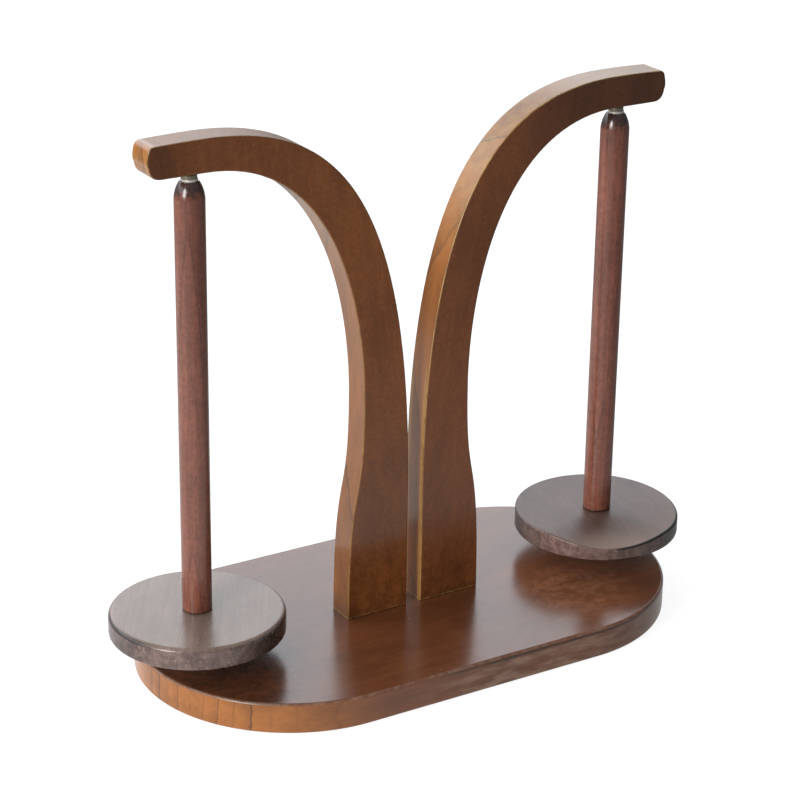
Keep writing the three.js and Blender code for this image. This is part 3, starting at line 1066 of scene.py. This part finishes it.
def handled(name, bright, dull, rough, scratch=0.08, metal=1.0):
    """A finish with that wear on it; rough is a range, and old plate is less than fully metallic."""
    made = bpy.data.materials.new(name)
    made.use_nodes = True
    tree = made.node_tree
    shader = tree.nodes["Principled BSDF"]
    shader.inputs["Metallic"].default_value = metal
    place = put(tree, "TexCoord").outputs["Object"]
    tones = {"Bright tone": (*bright, 1), "Dull tone": (*dull, 1)}
    roughs = {"Rough from": rough[0], "Rough to": rough[1]}
    skin = put(tree, "Group", {"Vector": place, **tones, **roughs}, node_tree=wear).outputs
    relief = put(tree, "Bump", {"Height": skin["Height"], "Strength": scratch, "Distance": scratch_relief})
    tree.links.new(skin["Colour"], shader.inputs["Base Color"])
    tree.links.new(skin["Roughness"], shader.inputs["Roughness"])
    tree.links.new(relief.outputs[0], shader.inputs["Normal"])
    return made


nickel = handled("cup_nickel", (0.86, 0.83, 0.75), (0.69, 0.66, 0.6), (0.3, 0.42), metal=0.5)
dark_nickel = handled(
    "collar_nickel", (0.27, 0.245, 0.19), (0.216, 0.196, 0.152), (0.35, 0.47), scratch=0.15, metal=0.7
)
magnet_skin = handled("magnet_nickel", (0.36, 0.35, 0.33), (0.29, 0.28, 0.264), (0.22, 0.34))
ball_steel = handled("ball_steel", (0.82, 0.83, 0.85), (0.66, 0.66, 0.68), (0.06, 0.18), scratch=0.03)
nylon = handled(
    "ring_nylon", (0.03, 0.028, 0.025), (0.012, 0.011, 0.010), (0.4, 0.6), scratch=0.05, metal=0.0
)

arm_cup_profile = [
    (0, 0),
    *rounded((cup_radius - cup_edge, cup_edge), cup_edge, -90, 0, 4),
    *rounded((cup_radius - cup_edge, cup_height - cup_edge), cup_edge, 0, 90, 4),
    (cup_inner, cup_height),
    (cup_inner, cup_floor),
    (0, cup_floor),
]
rod_cup_profile = [
    (0, 0),
    *rounded((cup_radius - cup_edge, cup_edge), cup_edge, -90, 0, 4),
    (cup_radius, cup_height - lip_height),
    *rounded((lip_radius - cup_edge, cup_height - lip_height + cup_edge), cup_edge, -90, 0, 3),
    *rounded((lip_radius - cup_edge, cup_height - cup_edge), cup_edge, 0, 90, 4),
    (collar_radius, cup_height),
    (collar_radius, cup_height + collar_height - collar_arris),
    (collar_radius - collar_arris, cup_height + collar_height),
    (cup_inner, cup_height + collar_height),
    (cup_inner, cup_floor),
    (0, cup_floor),
]
magnet_profile = [
    (0, cup_floor + magnet_gap),
    (magnet_radius, cup_floor + magnet_gap),
    *rounded((magnet_radius - magnet_round, cup_height - magnet_round), magnet_round, 0, 90, 3),
    (0, cup_height),
]
ring_profile = [
    (ring_inner, -ring_half),
    (ring_outer, -ring_half),
    (ring_outer, ring_half),
    (ring_inner, ring_half),
    (ring_inner, -ring_half),
]
for side, x in spindle_places.items():
    for body, label, bottom, upside_down, cup_profile in (
        (f"{side}_hanger", "rod", rod_magnet_face - cup_height, False, rod_cup_profile),
        ("holder", "arm", arm_magnet_face + cup_height, True, arm_cup_profile),
    ):
        for part, profile, skin, slot in (
            ("magnet_cup", cup_profile, nickel, "nickel_cup"),
            ("magnet", magnet_profile, magnet_skin, "magnet_plate"),
        ):
            metal = turned(f"{side}_{label}_{part}_plated", profile, plate_facets)
            if upside_down:
                metal.data.transform(Matrix.Rotation(math.pi, 4, "X"))
            shifted(metal, x, 0, bottom)
            smoothed(metal)
            metal.data.materials.append(skin)
            if profile is rod_cup_profile:
                metal.data.materials.append(dark_nickel)
                for face in metal.data.polygons:
                    face.material_index = int(face.center.z > rod_magnet_face + 0.01 * mm)
            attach(metal, body)
            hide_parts(f"{side}_{label}_{part}")
    bpy.ops.object.select_all(action="DESELECT")
    bpy.ops.mesh.primitive_uv_sphere_add(
        segments=48, ring_count=24, radius=ball_radius, location=(x, 0, ball_centre)
    )
    ball = start_piece(f"{side}_steel_ball")
    bpy.ops.object.shade_smooth()
    ball.data.materials.append(ball_steel)
    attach(ball, f"{side}_ball")
    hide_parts(f"{side}_bearing_ball")
    ring = shifted(turned(f"{side}_nylon_ring", ring_profile, plate_facets), x, 0, ball_centre)
    smoothed(ring)
    ring.data.materials.append(nylon)
    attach(ring, f"{side}_swing_link")
    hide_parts(f"{side}_ball_ring")


# The screws: countersunk wood screws of yellow zinc plated steel, two up through the base into each arm
# and one up through each disc into its rod. One of each length is turned, cut with its cross and copied.
screw_zinc = handled("screw_zinc", (0.74, 0.62, 0.36), (0.59, 0.5, 0.29), (0.28, 0.4), scratch=0.2)
screw_facets = 32
head_radius = 4.0 * mm
head_arris = (0.15 * mm, 0.12 * mm)
head_wall = 0.4 * mm
head_depth = 2.4 * mm
screw_crest = 2.0 * mm
screw_core = 1.4 * mm
screw_pitch = 2.0 * mm
screw_point = 4.0 * mm
shank_to_thread = 1.2 * mm
core_to_thread = 0.6 * mm
threaded_share = 0.6
thread = [
    # radius, and height within one turn
    (screw_core, 0.3 * mm),
    (screw_crest, 0.9 * mm),
    (screw_crest, 1.05 * mm),
    (screw_core, 1.65 * mm),
]
cross_width = 0.9 * mm
cross_span = 4.2 * mm
cross_depth = 1.6 * mm
cross_taper = 0.55


def wood_screw(length):
    """A screw with its head's face at z = 0 and its point up."""
    thread_end = length - screw_point
    turns = int(length * threaded_share / screw_pitch)
    thread_start = thread_end - turns * screw_pitch
    profile = [
        (0, 0),
        (head_radius - head_arris[0], 0),
        (head_radius, head_arris[1]),
        (head_radius, head_wall),
        (screw_crest, head_depth),
        (screw_crest, thread_start - shank_to_thread),
        (screw_core, thread_start - core_to_thread),
    ]
    for i in range(turns):
        foot = thread_start + i * screw_pitch
        profile += [(radius, foot + height) for radius, height in thread]
    made = turned("wood_screw", [*profile, (screw_core, thread_end), (0, length)], screw_facets)
    blade_size = (cross_span, cross_width, 2 * cross_depth)
    for turn in (0, math.pi / 2):
        bpy.ops.object.select_all(action="DESELECT")
        bpy.ops.mesh.primitive_cube_add(size=1, rotation=(0, 0, turn), scale=blade_size)
        blade = start_piece("cross_cutter")
        bpy.ops.object.mode_set(mode="EDIT")
        pick(blade, "FACE", lambda f: f.normal.z > 0.9)
        bpy.ops.transform.resize(value=(cross_taper, cross_taper, 1))
        bpy.ops.object.mode_set(mode="OBJECT")
        carve(made, blade)
    bpy.ops.object.mode_set(mode="EDIT")
    bpy.ops.mesh.select_all(action="SELECT")
    bpy.ops.mesh.remove_doubles(threshold=same_place)
    bpy.ops.object.mode_set(mode="OBJECT")
    return made


screw_places = [(node, "holder", x, screw_sink, arm_screw_length) for node, x in arm_screw_places.items()]
screw_places += [
    (f"{side}_disc_screw", f"{side}_spindle", x, disc_bottom + screw_sink, disc_screw_length)
    for side, x in spindle_places.items()
]
patterns = {length: wood_screw(length) for length in (arm_screw_length, disc_screw_length)}
for node, body, x, z, length in screw_places:
    take(patterns[length])
    bpy.ops.object.duplicate()
    screw = bpy.context.object
    screw.name = screw.data.name = f"{node}_zinc"
    shifted(screw, x, 0, z)
    smoothed(screw, 30)
    screw.data.materials.append(screw_zinc)
    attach(screw, body)
    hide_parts(node)
for pattern in patterns.values():
    bpy.data.objects.remove(pattern)
